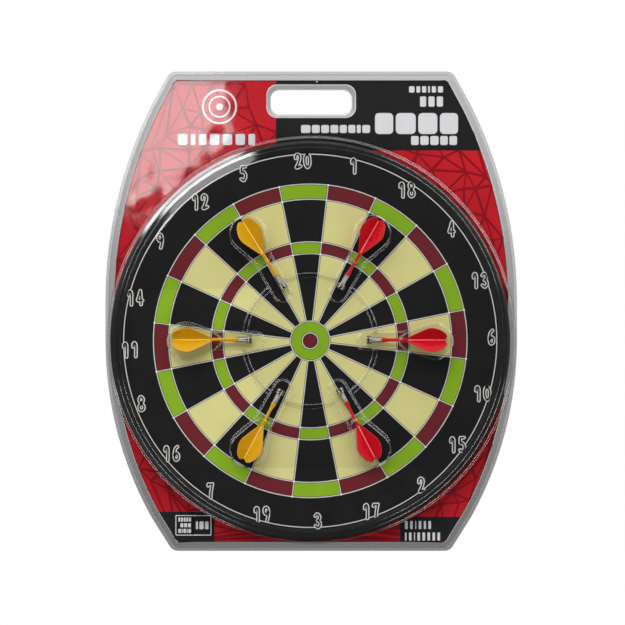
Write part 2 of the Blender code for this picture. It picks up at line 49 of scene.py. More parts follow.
# Pack outline and depths, as in the CAD model.
PACK_TOP, PACK_BOTTOM, PACK_HALF_WIDTH = 0.2773, -0.2174, 0.2124
SHOULDER_HEIGHT, UPPER_SIDE_RADIUS, LOWER_SIDE_RADIUS = 0.040, 0.455, 0.375
PACK_CORNER_RADIUS, FLANGE_WIDTH, FRAME_WIDTH, CARD_INSET = 0.010, 0.0035, 0.0100, 0.0104
FLANGE_BACK, FLANGE_FRONT, PLATEAU_DEPTH = 0.0008, 0.0013, 0.0081
BACK_SKIN, BACK_SLOT_OUTSET, BACK_FLANGE, BACK_TRAY_DEPTH = 0.0001, 0.0010, 0.0005, 0.0065
CARD_BACK, CARD_FRONT = 0.0068, 0.0073
SLOT_HEIGHT, SLOT_FRONT, SLOT_BACK, SLOT_CORNER_RADIUS = 0.2457, (0.0895, 0.0320), (0.0831, 0.0245), 0.009
BOSS_RADIUS, BOSS_DRAFT = 0.060, 0.004
BULGE_X, BULGE_Z, BULGE_TOP_RADIUS, BULGE_DRAFT, BULGE_DEPTH = 0.0005, 0.0010, 0.2045, 0.17, 0.0298

# Dart pockets.
POCKET_CENTRE, POCKET_RADIUS, POCKET_NECK, POCKET_DEPTH = 0.1245, 0.0179, 0.098, 0.0488
CHANNEL_START, CHANNEL_RADIUS, CHANNEL_DEPTH, POCKET_DRAFT = 0.0555, 0.0090, 0.0374, 0.05

# Board.
BOARD_X, BOARD_TURN = -0.001, math.radians(2.4)
FACE_BACK, FACE_FRONT, DISC_RADIUS = 0.0272, 0.0275, 0.1927

# Darts: colour, pocket angle in degrees, tip's distance along and across the pocket, and turn in degrees.
DARTS = (
    ("red", 0, 0.0568, 0.0011, 0.0),
    ("red", 60, 0.0605, 0.0004, 0.4),
    ("yellow", 120, 0.0586, -0.0038, 1.6),
    ("yellow", 180, 0.0585, -0.0014, 0.0),
    ("yellow", 240, 0.0570, -0.0007, 1.6),
    ("red", 300, 0.0560, 0.0013, -2.8),
)
DART_PITCH = math.radians(5.15)
MAGNET_RADIUS, GAP = 0.0042, 0.0003
MM = 0.001
SUPPORT = 0.1 * MM


# ---------------------------------------------------------------- points and outlines


def front(x, z, depth):
    return Vector((x, -depth, z))


def on_board(x, z, depth):
    """A point of the board, which hangs slightly turned behind the pack's centre."""
    cosine, sine = math.cos(BOARD_TURN), math.sin(BOARD_TURN)
    return front(BOARD_X + x * cosine - z * sine, x * sine + z * cosine, depth)


def polar(radius, angle):
    return radius * math.cos(angle), radius * math.sin(angle)


def circle(radius, steps, x=0.0, z=0.0):
    turns = [math.tau * i / steps for i in range(steps)]
    return [(x + radius * math.cos(turn), z + radius * math.sin(turn)) for turn in turns]


def rounded_rectangle(width, height, radius, x=0.0, z=0.0, steps=8):
    points = []
    for quarter, (side, up) in enumerate(((1, 1), (-1, 1), (-1, -1), (1, -1))):
        for i in range(steps + 1):
            dx, dz = polar(radius, math.pi / 2 * (quarter + i / steps))
            points.append((x + side * (width / 2 - radius) + dx, z + up * (height / 2 - radius) + dz))
    return points


def rectangle(left, right, bottom, top):
    return [(left, bottom), (right, bottom), (right, top), (left, top)]


def side_at(z, inset):
    """Half the pack's width at a height, moved inwards by inset."""
    if z > SHOULDER_HEIGHT:
        rise, radius = z - SHOULDER_HEIGHT, UPPER_SIDE_RADIUS
    elif z < 0:
        rise, radius = -z, LOWER_SIDE_RADIUS
    else:
        return PACK_HALF_WIDTH - inset
    return PACK_HALF_WIDTH - radius + math.sqrt((radius - inset) ** 2 - rise**2)


def corner_arc(corner, before, after, radius, steps=8):
    corner, before, after = Vector(corner), Vector(before), Vector(after)
    arm_in, arm_out = (before - corner).normalized(), (after - corner).normalized()
    half = arm_in.angle(arm_out) / 2
    centre = corner + (arm_in + arm_out).normalized() * radius / math.sin(half)
    start = (corner + arm_in * radius / math.tan(half) - centre).normalized()
    end = (corner + arm_out * radius / math.tan(half) - centre).normalized()
    return [tuple(centre + start.slerp(end, i / steps) * radius) for i in range(steps + 1)]


def pack_outline(inset, side_steps=44):
    """The pack's outline, moved inwards by inset: anticlockwise from the bottom right."""
    top, bottom = PACK_TOP - inset, PACK_BOTTOM + inset
    radius = PACK_CORNER_RADIUS - inset / 2
    heights = [bottom + (top - bottom) * i / side_steps for i in range(side_steps + 1)]
    right = [(side_at(z, inset), z) for z in heights]
    left = [(-x, z) for x, z in reversed(right)]
    loop = corner_arc(right[0], left[-1], right[2], radius) + right[3:-3]
    loop += corner_arc(right[-1], right[-3], left[0], radius)
    loop += corner_arc(left[0], right[-1], left[2], radius) + left[3:-3]
    loop += corner_arc(left[-1], left[-3], right[0], radius)
    return loop


def slot_outline(depth, outset=0.0):
    share = depth / PLATEAU_DEPTH
    width, height = (back + (fore - back) * share for fore, back in zip(SLOT_FRONT, SLOT_BACK))
    radius = SLOT_CORNER_RADIUS + outset
    return rounded_rectangle(width + 2 * outset, height + 2 * outset, radius, 0.0, SLOT_HEIGHT)


def clip(outline, axis, limit, keep_above):
    """The part of a convex outline on one side of a line along an axis."""
    sign = 1 if keep_above else -1
    kept = []
    for here, there in zip(outline, outline[1:] + outline[:1]):
        a, b = sign * (here[axis] - limit), sign * (there[axis] - limit)
        if a >= 0:
            kept.append(here)
        if a * b < 0:
            kept.append(tuple(Vector(here).lerp(Vector(there), a / (a - b))))
    return kept


def rounded(corners, steps=6):
    """A path through (value, depth, cut) corners, each rounded over the length cut on both of its arms.

    A support point on either side keeps the straight stretches between the bends flat when they are shaded.
    """
    path = []
    for k, (value, depth, cut) in enumerate(corners):
        here = Vector((value, depth))
        if not cut:
            path.append(tuple(here))
            continue
        arm_in = (Vector(corners[k - 1][:2]) - here).normalized()
        arm_out = (Vector(corners[k + 1][:2]) - here).normalized()
        start, end = here + arm_in * cut, here + arm_out * cut
        path.append(tuple(start + arm_in * SUPPORT))
        for i in range(steps + 1):
            t = i / steps
            path.append(tuple(start * (1 - t) ** 2 + here * 2 * t * (1 - t) + end * t**2))
        path.append(tuple(end + arm_out * SUPPORT))
    return path


def smooth_through(points, steps=6):
    """A Catmull-Rom curve through points, with its own ends repeated."""
    knots = [Vector(points[0])] + [Vector(p) for p in points] + [Vector(points[-1])]
    curve = []
    for a, b, c, d in zip(knots, knots[1:], knots[2:], knots[3:]):
        for i in range(steps):
            t = i / steps
            square, cube = (2 * a - 5 * b + 4 * c - d) * t**2, (3 * b - a - 3 * c + d) * t**3
            curve.append(0.5 * (2 * b + (c - a) * t + square + cube))
    return curve + [knots[-1]]


# ---------------------------------------------------------------- mesh pieces


class Surface:
    """Gathers faces, each with a material slot, and makes one piece of them."""

    def __init__(self, place=front):
        self.place, self.points, self.faces, self.slots, self.smooth = place, [], [], [], []

    def add(self, points, faces, slot=0, smooth=False):
        base = len(self.points)
        self.points += [Vector(p) for p in points]
        for face in faces:
            self.faces.append([base + i for i in face])
            self.slots.append(slot)
            self.smooth.append(smooth)

    def rings(self, rings, slot=0, smooth=True, closed=True):
        """Quads between neighbouring rings of points."""
        count = len(rings[0])
        faces = []
        for k in range(len(rings) - 1):
            for i in range(count if closed else count - 1):
                j = (i + 1) % count
                here, above = k * count, (k + 1) * count
                faces.append((here + i, here + j, above + j, above + i))
        self.add([p for ring in rings for p in ring], faces, slot, smooth)

    def loft(self, outline_at, path, slot=0, smooth=True):
        """Rings of an outline that changes with its value, along a path of (value, depth)."""
        rings = [[self.place(x, z, depth) for x, z in outline_at(value)] for value, depth in path]
        self.rings(rings, slot, smooth)

    def flat(self, loops, depth, slot=0, facing_front=True):
        """A flat region inside the first loop and outside the others."""
        points = [self.place(x, z, depth) for loop in loops for x, z in loop]
        triangles = geometry.tessellate_polygon([[Vector((x, z, 0)) for x, z in loop] for loop in loops])
        faces = []
        for a, b, c in triangles:
            towards_back = (points[b] - points[a]).cross(points[c] - points[a]).y > 0
            faces.append((c, b, a) if towards_back == facing_front else (a, b, c))
        self.add(points, faces, slot)

    def lathe(self, profile, place, steps, slot=0, smooth=True):
        """A turned surface from (radius, height) points; place takes two cross coordinates and the height."""
        rings = []
        for radius, height in profile:
            rings.append([place(*polar(radius, math.tau * i / steps), height) for i in range(steps)])
        self.rings(rings, slot, smooth)

    def make(self, name, materials, body, replaces=(), transform=None):
        mesh = bpy.data.meshes.new(name)
        mesh.from_pydata(self.points, [], self.faces)
        if transform:
            mesh.transform(transform)
        mesh.polygons.foreach_set("material_index", self.slots)
        mesh.polygons.foreach_set("use_smooth", self.smooth)
        for material in materials:
            mesh.materials.append(material)
        piece = bpy.data.objects.new(name, mesh)
        bpy.context.scene.collection.objects.link(piece)
        bpy.context.view_layer.update()
        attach(piece, body)
        if replaces:
            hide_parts(*replaces)
        return piece


# ---------------------------------------------------------------- materials


def linear(*channels):
    """Linear colour of an sRGB one given in 0 to 255."""
    values = [c / 255 for c in channels]
    return tuple(c / 12.92 if c <= 0.04045 else ((c + 0.055) / 1.055) ** 2.4 for c in values) + (1.0,)


class Graph:
    """Short names for the few node patterns that the materials share."""

    def __init__(self, name):
        self.material = bpy.data.materials.new(name)
        self.material.use_nodes = True
        self.tree = self.material.node_tree
        self.tree.nodes.clear()
        self.output = self.node("ShaderNodeOutputMaterial")
        self.place = self.node("ShaderNodeTexCoord").outputs["Object"]

    def node(self, kind, **settings):
        made = self.tree.nodes.new(kind)
        for name, value in settings.items():
            setattr(made, name, value)
        return made

    def link(self, source, target):
        self.tree.links.new(source, target)

    def noise(self, scale, detail):
        made = self.node("ShaderNodeTexNoise")
        made.inputs["Scale"].default_value = scale
        made.inputs["Detail"].default_value = detail
        self.link(self.place, made.inputs["Vector"])
        return made.outputs["Fac"]

    def spread(self, source, low, high, start=0.3, end=0.7):
        made = self.node("ShaderNodeMapRange")
        for name, value in (("From Min", start), ("From Max", end), ("To Min", low), ("To Max", high)):
            made.inputs[name].default_value = value
        self.link(source, made.inputs["Value"])
        return made.outputs["Result"]

    def between(self, source, dark, light):
        made = self.node("ShaderNodeValToRGB")
        ramp = made.color_ramp.elements
        ramp[0].position, ramp[1].position = 0.3, 0.7
        ramp[0].color, ramp[1].color = dark, light
        self.link(source, made.inputs["Fac"])
        return made.outputs["Color"]

    def bump(self, source, strength, distance):
        made = self.node("ShaderNodeBump")
        made.inputs["Strength"].default_value = strength
        made.inputs["Distance"].default_value = distance
        self.link(source, made.inputs["Height"])
        return made.outputs["Normal"]

    def principled(self, **sockets):
        made = self.node("ShaderNodeBsdfPrincipled")
        for name, value in sockets.items():
            made.inputs[name.replace("_", " ")].default_value = value
        return made


def shaded(colour, share):
    return tuple(c * share for c in colour[:3]) + (1.0,)


def solid(name, colour, roughness, variation=0.08, grain=300.0, bump=0.15, relief=0.00004, **sockets):
    """An opaque material with mottled colour, uneven gloss and a fine surface relief."""
    graph = Graph(name)
    shader = graph.principled(**sockets)
    mottle = graph.noise(grain * 0.25, 4.0)
    fine = graph.noise(grain * 4, 2.0)
    low, high = shaded(colour, 1 - variation), shaded(colour, 1 + variation)
    graph.link(graph.between(mottle, low, high), shader.inputs["Base Color"])
    graph.link(graph.spread(mottle, roughness * 0.85, roughness * 1.15), shader.inputs["Roughness"])
    graph.link(graph.bump(fine, bump, relief), shader.inputs["Normal"])
    graph.link(shader.outputs["BSDF"], graph.output.inputs["Surface"])
    return graph.material


def clear(name, low_tint, high_tint, mirror, roughness, waviness, wave_scale):
    """Clear sheet: what lies behind it shows through, tinted, under a wavy gloss that grows at a slant.

    The tint goes from low_tint at the pack's foot to high_tint at its shoulders: painted light, the sheet drawn
    lighter towards the top as if lit from above.
    """
    graph = Graph(name)
    wave = graph.noise(wave_scale, 2.0)
    normal = graph.bump(wave, 1.0, waviness)
    gloss = graph.principled(Metallic=1.0, Base_Color=(1.0, 1.0, 1.0, 1.0))
    graph.link(graph.spread(wave, roughness * 0.8, roughness * 1.2), gloss.inputs["Roughness"])
    through = graph.node("ShaderNodeBsdfTransparent")
    heights = graph.node("ShaderNodeSeparateXYZ")
    graph.link(graph.place, heights.inputs["Vector"])
    share = graph.spread(heights.outputs["Z"], 0.3, 0.7, *PAINTED_LIGHT_HEIGHTS)
    shades = [(tint, tint, tint, 1.0) for tint in (low_tint, high_tint)]
    graph.link(graph.between(share, *shades), through.inputs["Color"])
    slant = graph.node("ShaderNodeLayerWeight")
    slant.inputs["Blend"].default_value = 0.5
    for shader in (gloss, slant):
        graph.link(normal, shader.inputs["Normal"])
    steep = graph.node("ShaderNodeMath", operation="POWER")
    steep.inputs[1].default_value = 5.0
    graph.link(slant.outputs["Facing"], steep.inputs[0])
    share = graph.node("ShaderNodeMath", operation="MULTIPLY_ADD", use_clamp=True)
    share.inputs[1].default_value = 0.9
    share.inputs[2].default_value = mirror
    graph.link(steep.outputs["Value"], share.inputs[0])
    mix = graph.node("ShaderNodeMixShader")
    graph.link(share.outputs["Value"], mix.inputs["Fac"])
    graph.link(through.outputs["BSDF"], mix.inputs[1])
    graph.link(gloss.outputs["BSDF"], mix.inputs[2])
    graph.link(mix.outputs["Shader"], graph.output.inputs["Surface"])
    return graph.material


# Heights over which a sheet's tint runs from low to high: painted light, lighter towards the top.
PAINTED_LIGHT_HEIGHTS = (-0.20, 0.16)
CLEAR = clear("clear_flat", 0.98, 0.98, 0.05, 0.03, 0.00010, 30.0)
WAVY = clear("clear_wavy", 0.98, 0.98, 0.07, 0.05, 0.0008, 16.0)
CURVED = clear("clear_curves", 0.95, 0.96, 0.18, 0.03, 0.00001, 25.0)
# The frame slopes, slot funnel and flange are tinted grey: painted shade for the darker surroundings seen
# through them, lighter towards the top as painted light.
FORMED = clear("clear_formed", 0.46, 0.64, 0.12, 0.10, 0.0001, 90.0)
FLANGE = clear("clear_flange", 0.50, 0.76, 0.02, 0.08, 0.0001, 90.0)
SHEETS = [CLEAR, FORMED, CURVED, WAVY, FLANGE]
MATT = {"Specular_IOR_Level": 0.12}
BLACK_PLASTIC = solid("moulded_black", linear(30, 30, 31), 0.34, 0.15, 240.0)
BLACK_INK = solid("black_ink", linear(29, 29, 30), 0.5, 0.10, 160.0, bump=0.05, **MATT)
CREAM_INK = solid("cream_ink", linear(214, 209, 140), 0.5, 0.03, 120.0, bump=0.05, **MATT)
MAROON_INK = solid("maroon_ink", linear(106, 38, 44), 0.5, 0.05, 160.0, bump=0.05, **MATT)
GREEN_INK = solid("green_ink", linear(132, 172, 38), 0.5, 0.04, 160.0, bump=0.05, **MATT)
SILVER_INK = solid("silver_ink", linear(205, 205, 200), 0.4, 0.05, 500.0, bump=0.05, **MATT)
BRIGHT_INK = solid("bright_ink", linear(235, 235, 232), 0.4, 0.04, 500.0, bump=0.05, **MATT)
CARD_RED = solid("card_red", linear(196, 34, 44), 0.45, 0.09, 60.0, bump=0.05, **MATT)
CARD_LINES = solid("card_lines", linear(148, 22, 34), 0.45, 0.12, 90.0, bump=0.05, **MATT)
CARD_BLACK = solid("card_black", linear(37, 38, 39), 0.45, 0.10, 90.0, bump=0.05, **MATT)
CARD_WHITE = solid("card_white", linear(226, 226, 228), 0.45, 0.03, 90.0, bump=0.05, **MATT)
CARD_BACK_GREY = solid("card_back", linear(176, 170, 158), 0.8, 0.06, 500.0, bump=0.3)
HARDBOARD = solid("hardboard", linear(122, 88, 56), 0.75, 0.18, 900.0, bump=0.6, relief=0.0002)
FIBREBOARD = solid("fibreboard", linear(158, 128, 92), 0.85, 0.15, 900.0, bump=0.6, relief=0.0002)
ZINC = solid("zinc_steel", (0.60, 0.61, 0.63, 1.0), 0.32, 0.06, 900.0, Metallic=1.0)
NICKEL = solid("bright_nickel", (0.56, 0.54, 0.51, 1.0), 0.12, 0.08, 700.0, relief=0.00002, Metallic=1.0)
MAGNET_NICKEL = solid(
    "magnet_nickel", (0.42, 0.41, 0.39, 1.0), 0.16, 0.10, 700.0, relief=0.00002, Metallic=1.0
)
RUBBER = solid("rubber", (0.025, 0.025, 0.025, 1.0), 0.8, 0.2, 600.0, bump=0.6)
# Each dart has its plastic and a lighter colour for the core between the fins: a painted highlight along the
# core.
DART_PLASTIC = {
    "yellow": [
        solid("yellow_plastic", linear(222, 165, 0), 0.30, 0.03, 260.0, bump=0.1),
        solid("yellow_rib_painted_highlight", linear(250, 224, 130), 0.25, 0.05, 260.0, bump=0.1),
    ],
    "red": [
        solid("red_plastic", linear(205, 4, 26), 0.30, 0.03, 260.0, bump=0.1),
        solid("red_rib_painted_highlight", linear(240, 140, 140), 0.25, 0.05, 260.0, bump=0.1),
    ],
}


# ---------------------------------------------------------------- blister pack


def add_frame(surface, edge_back, flange, tray, fillet):
    """Flange, sloping frame and the fillet into the tray's flat, and the inset at which that flat starts."""
    slope = (FRAME_WIDTH - FLANGE_WIDTH) / (PLATEAU_DEPTH - FLANGE_FRONT)
    inner = FLANGE_WIDTH + (tray - flange) * slope
    corners = [
        (0.0, edge_back, 0),
        (0.0, flange, 0),
        (FLANGE_WIDTH, flange, 0.5 * MM),
        (inner, tray, fillet),
        (inner + fillet, tray, 0),
    ]
    path = rounded(corners)
    surface.loft(pack_outline, path[:2], 1, False)
    surface.loft(pack_outline, path[1:3], 4, False)
    surface.loft(pack_outline, path[2:], 1)
    return inner + fillet


def pocket_outline():
    """Union of a dart's channel and flight bulge in (along, across) coordinates.

    Each point is (along, across, outward normal along, outward normal across, share of channel).
    """
    lean = math.asin((POCKET_RADIUS - CHANNEL_RADIUS) / (POCKET_CENTRE - POCKET_NECK))
    half = []
    for i in range(13):
        n = polar(1.0, (math.pi / 2 + lean) * i / 12)
        half.append((POCKET_CENTRE + POCKET_RADIUS * n[0], POCKET_RADIUS * n[1], *n, 0.0))
    n = polar(1.0, math.pi / 2 + lean)
    start = Vector(half[-1][:2])
    slope = math.tan(lean)
    corner = Vector((start.x - (start.y - CHANNEL_RADIUS) / slope, CHANNEL_RADIUS))
    for i in range(1, 5):
        half.append((*start.lerp(corner, i / 5), *n, 0.0))
    half.append((*corner, 0.0, 1.0, 0.5))
    for i in range(1, 8):
        half.append((corner.x + (CHANNEL_START - corner.x) * i / 8, CHANNEL_RADIUS, 0.0, 1.0, 1.0))
    for i in range(9):
        n = polar(1.0, math.pi / 2 * (1 + i / 8))
        half.append((CHANNEL_START + CHANNEL_RADIUS * n[0], CHANNEL_RADIUS * n[1], *n, 1.0))
    mirrored = [(u, -v, nu, -nv, share) for u, v, nu, nv, share in half[-2:0:-1]]
    return half + mirrored


def near_arc(offset):
    """The flight bulge's end over the channel, from its left side to its right side."""
    lean = math.asin((POCKET_RADIUS - CHANNEL_RADIUS) / (POCKET_CENTRE - POCKET_NECK))
    start, end = math.pi / 2 + lean, 3 * math.pi / 2 - lean
    arc = [polar(CHANNEL_RADIUS + offset, start + (end - start) * i / 12) for i in range(13)]
    return [(POCKET_NECK + u, v) for u, v in arc]


def add_pocket(surface, angle):
    """One dart pocket, pressed out of the bulge's flat top, and the outline of its foot."""
    outline = pocket_outline()
    foot, top_fillet, channel_fillet = 1.2 * MM, 2.0 * MM, 1.6 * MM
    channel = [k for k, point in enumerate(outline) if point[4] > 0]
    flight = [k for k, point in enumerate(outline) if point[4] == 0]
    split = channel[0]
    flight = [k for k in flight if k > channel[-1]] + [k for k in flight if k < split]

    def on_pocket(u, v, depth):
        cosine, sine = math.cos(angle), math.sin(angle)
        return front(BOARD_X + u * cosine - v * sine, u * sine + v * cosine, depth)

    def ring(depth, outset, channel_inset=0.0):
        points = []
        for u, v, nu, nv, share in outline:
            top = POCKET_DEPTH + (CHANNEL_DEPTH - POCKET_DEPTH) * share
            off = max(top - depth, 0) * POCKET_DRAFT + outset - share * channel_inset
            points.append(on_pocket(u + nu * off, v + nv * off, depth))
        return points

    steps = 6
    wall = []
    for i in range(steps + 1):
        turn = math.pi / 2 * i / steps
        wall.append(ring(BULGE_DEPTH + foot * (1 - math.cos(turn)), foot * (1 - math.sin(turn))))
    for i in range(steps + 1):
        turn = math.pi / 2 * i / steps
        depth = CHANNEL_DEPTH - channel_fillet * (1 - math.sin(turn))
        wall.append(ring(depth, 0.0, channel_fillet * (1 - math.cos(turn))))
    surface.rings(wall, 2)

    rise = (POCKET_DEPTH - CHANNEL_DEPTH) * POCKET_DRAFT
    arc_foot = [on_pocket(u, v, CHANNEL_DEPTH) for u, v in near_arc(rise)]
    lid = [wall[-1][k] for k in channel] + arc_foot[::-1]
    flattened = [Vector((p.x, p.z, 0)) for p in lid]
    surface.add(lid, [tuple(face) for face in geometry.tessellate_polygon([flattened])], 0)

    upper = []
    for i in range(steps + 1):
        turn = math.pi / 2 * i / steps
        depth = POCKET_DEPTH - top_fillet * (1 - math.sin(turn))
        inset = top_fillet * (1 - math.cos(turn))
        off = (POCKET_DEPTH - depth) * POCKET_DRAFT - inset
        side = []
        for u, v, nu, nv, _ in (outline[k] for k in flight):
            side.append(on_pocket(u + nu * off, v + nv * off, depth))
        upper.append(side + [on_pocket(u, v, depth) for u, v in near_arc(off)])
    base = [wall[-1][k] for k in flight] + arc_foot
    surface.rings([base] + upper, 2)
    cap = [Vector((p.x, p.z, 0)) for p in upper[-1]]
    surface.add(upper[-1], [tuple(face) for face in geometry.tessellate_polygon([cap])], 0)
    return [(p.x, p.z) for p in wall[0]]


def bead_outline(radius, half_width, start, end, offset):
    """A curved capsule along an arc round the board's centre."""
    wide = half_width + offset
    angles = [start + (end - start) * i / 24 for i in range(25)]
    points = [polar(radius + wide, a) for a in angles]
    for centre, first in ((end, end), (start, start + math.pi)):
        middle = Vector(polar(radius, centre))
        points += [tuple(middle + Vector(polar(wide, first + math.pi * i / 8))) for i in range(1, 8)]
        if centre == end:
            points += [polar(radius - wide, a) for a in reversed(angles)]
    return [(BOARD_X + x, z) for x, z in points]


def add_bead(surface, radius, half_width, start, end, height=0.9 * MM, fillet=0.6 * MM):
    corners = [(fillet * 2, 0, 0), (fillet * 0.7, 0, fillet)]
    path = rounded(corners + [(-fillet * 0.3, height, fillet), (-fillet * 2, height, 0)])
    rings = []
    for offset, rise in path:
        outline = bead_outline(radius, half_width, start, end, offset)
        rings.append([front(x, z, BULGE_DEPTH + rise) for x, z in outline])
    surface.rings(rings, 2)
    surface.flat([[(p.x, p.z) for p in rings[-1]]], BULGE_DEPTH + height)
    return [(p.x, p.z) for p in rings[0]]


# The bulge's edge falls away from its flat top in a shallow cone and two fine steps: radius, fall, cut in mm.
BULGE_STEPS = (
    (199.1, 0.75, 0.2), (198.6, 0.50, 0.2), (194.9, 0.40, 0.2), (194.4, 0.20, 0.2), (188.0, 0.0, 3.0)
)
BULGE_FALL, FLAT_TOP_RADIUS, SHALLOW_RADIUS = 0.8 * MM, 184.0 * MM, 194.2 * MM
BEAD_RADIUS, BEAD_HALF_WIDTH, BEAD_MARGIN = 66.4 * MM, 2.0 * MM, math.radians(9.0)


def build_blister_front():
    surface = Surface()
    flat_inset = add_frame(surface, FLANGE_BACK, FLANGE_FRONT, PLATEAU_DEPTH, 1.0 * MM)

    def bulge_circle(radius):
        return circle(radius, 256, BULGE_X, BULGE_Z)

    foot_radius = BULGE_TOP_RADIUS + (BULGE_DEPTH - PLATEAU_DEPTH) * BULGE_DRAFT
    bulge = rounded(
        [
            (foot_radius + 2.2 * MM, PLATEAU_DEPTH, 0),
            (foot_radius, PLATEAU_DEPTH, 1.6 * MM),
            (BULGE_TOP_RADIUS, BULGE_DEPTH - BULGE_FALL, 2.0 * MM),
            *[(radius * MM, BULGE_DEPTH - fall * MM, cut * MM) for radius, fall, cut in BULGE_STEPS],
            (FLAT_TOP_RADIUS, BULGE_DEPTH, 0),
        ],
        8,
    )
    shallow = next(k for k, (radius, _) in enumerate(bulge) if radius < SHALLOW_RADIUS)
    surface.loft(bulge_circle, bulge[: shallow + 1], 2)
    surface.loft(bulge_circle, bulge[shallow:], 0)

    slot_path = [(PLATEAU_DEPTH, 1.2 * MM)]
    for i in range(1, 7):
        turn = math.pi / 2 * i / 6
        slot_path.append((PLATEAU_DEPTH - 1.2 * MM * (1 - math.cos(turn)), 1.2 * MM * (1 - math.sin(turn))))
    slot_path.append((0.0003, 0.0))
    rings = [[front(x, z, depth) for x, z in slot_outline(depth, outset)] for depth, outset in slot_path]
    surface.rings(rings, 1)

    slot_mouth = slot_outline(*slot_path[0])
    surface.flat([pack_outline(flat_inset), bulge_circle(bulge[0][0]), slot_mouth], PLATEAU_DEPTH, 3)
    holes = [add_pocket(surface, math.radians(60 * k)) for k in range(6)]
    for k in range(6):
        start, end = math.radians(60 * k) + BEAD_MARGIN, math.radians(60 * k + 60) - BEAD_MARGIN
        holes.append(add_bead(surface, BEAD_RADIUS, BEAD_HALF_WIDTH, start, end))
    surface.flat([bulge_circle(bulge[-1][0]), *holes], BULGE_DEPTH)
    surface.make("blister_front_shell", SHEETS, "pack_front", ["blister_front"])


def build_blister_back():
    surface = Surface()
    flat_inset = add_frame(surface, BACK_FLANGE, BACK_SKIN, BACK_TRAY_DEPTH, 0.8 * MM)
    boss = rounded(
        [
            (BOSS_RADIUS + BOSS_DRAFT + 2.0 * MM, BACK_TRAY_DEPTH, 0),
            (BOSS_RADIUS + BOSS_DRAFT, BACK_TRAY_DEPTH, 1.5 * MM),
            (BOSS_RADIUS, BACK_SKIN, 1.5 * MM),
            (BOSS_RADIUS - 2.0 * MM, BACK_SKIN, 0),
        ]
    )
    surface.loft(lambda radius: circle(radius, 96), boss, 2)
    surface.flat([circle(boss[-1][0], 96)], boss[-1][1], 0, False)
    wall = []
    for depth in (BACK_TRAY_DEPTH, BACK_SKIN):
        wall.append([front(x, z, depth) for x, z in slot_outline(depth, BACK_SLOT_OUTSET)])
    surface.rings(wall, 1)
    mouth = slot_outline(BACK_TRAY_DEPTH, BACK_SLOT_OUTSET)
    surface.flat([pack_outline(flat_inset), circle(boss[0][0], 96), mouth], BACK_TRAY_DEPTH, 0, False)
    surface.make("blister_back_shell", SHEETS, "pack_back", ["blister_back"])


# ---------------------------------------------------------------- printed card

BLOCK_LEFT, BLOCK_BOTTOM = -36.2 * MM, 195.0 * MM
LAYER = 0.02 * MM


def ribbon(surface, points, width, depth, slot=0, closed=False, caps=True):
    """A flat stripe of even width along points, with round ends."""
    points = [Vector(p) for p in points]
    count = len(points)
    sides = []
    for k, here in enumerate(points):
        before = points[k - 1] if closed or k else here
        after = points[(k + 1) % count] if closed or k < count - 1 else here
        way = (after - before).normalized()
        normal = Vector((-way.y, way.x)) * width / 2
        sides.append((here + normal, here - normal))
    rings = [[surface.place(*side[j], depth) for side in sides] for j in (0, 1)]
    surface.rings(rings, slot, False, closed)
    if caps and not closed:
        for here, other in ((points[0], points[1]), (points[-1], points[-2])):
            start = math.atan2(here.y - other.y, here.x - other.x) - math.pi / 2
            arc = [here + Vector(polar(width / 2, start + math.pi * i / 6)) for i in range(7)]
            surface.flat([[tuple(p) for p in arc]], depth, slot)


def add_line_network(surface):
    """A random net of straight lines over the red ground, kept off the handle slot."""
    chance = random.Random(11)
    points = [Vector(p) for p in pack_outline(CARD_INSET + 0.3 * MM)[::5]]
    on_edge = len(points)
    columns, rows = 19, 22
    for i in range(columns):
        for k in range(rows):
            x = (-0.5 + (i + chance.uniform(0.1, 0.9)) / columns) * 0.41
            z = PACK_BOTTOM + 0.014 + (k + chance.uniform(0.1, 0.9)) / rows * 0.47
            if abs(x) < side_at(z, CARD_INSET + 3 * MM) and z < PACK_TOP - 0.014:
                points.append(Vector((x, z)))
    edges = geometry.delaunay_2d_cdt(points, [], [], 0, 1e-6)[1]
    for a, b in edges:
        if a < on_edge and b < on_edge:
            continue
        samples = [points[a].lerp(points[b], i / 8) for i in range(9)]
        if any(abs(x) < 52 * MM and abs(z - SLOT_HEIGHT) < 24 * MM for x, z in samples):
            continue
        depth = CARD_FRONT + LAYER * chance.uniform(0.5, 1.0)
        ribbon(surface, samples[::8], chance.uniform(1.5, 3.0) * MM, depth, 1, caps=False)


def add_words(surface, left, right, bottom, top, widths, depth, gap=0.18):
    """A row of rounded blocks of the given relative widths, where a line of lettering would be."""
    height = top - bottom
    space = height * gap
    unit = (right - left - space * (len(widths) - 1)) / sum(widths)
    x = left
    for width in widths:
        size = width * unit
        radius = min(size, height) * 0.22
        block = rounded_rectangle(size, height, radius, x + size / 2, (bottom + top) / 2, 4)
        surface.flat([block], depth, 3)
        x += size + space


# Where lines of lettering would be: left, right, bottom, top in mm, the blocks' relative widths, their gap.
WORDS = (
    (65.5, 150.8, 211.9, 233.5, (1, 1.1, 1.05, 1), 0.12),
    (-10.5, 60.4, 212.9, 221.2, (1.2, 1, 1, 1, 0.9, 0.9, 0.5, 1), 0.18),
    (102.5, 149.7, 200.6, 209.9, (1, 1.1, 1.1, 1, 1), 0.18),
    (100.4, 135.3, 254.5, 261.0, (1.2, 0.8, 0.9, 0.4, 0.9, 1.1), 0.3),
    (111.7, 135.3, 240.0, 250.5, (1, 1, 1), 0.22),
    (-137.0, -57.7, 200.6, 212.0, (1, 0.5, 0.8, 1, 1, 1, 0.7), 0.3),
    (96.3, 123.0, -193.8, -185.5, (1, 1, 0.4, 1, 0.8, 1), 0.3),
    (96.3, 132.3, -205.6, -197.3, (0.6, 1, 0.4, 1, 1, 1, 1, 1), 0.3),
)
SIGN_X, SIGN_Z = -94.2 * MM, 240.0 * MM


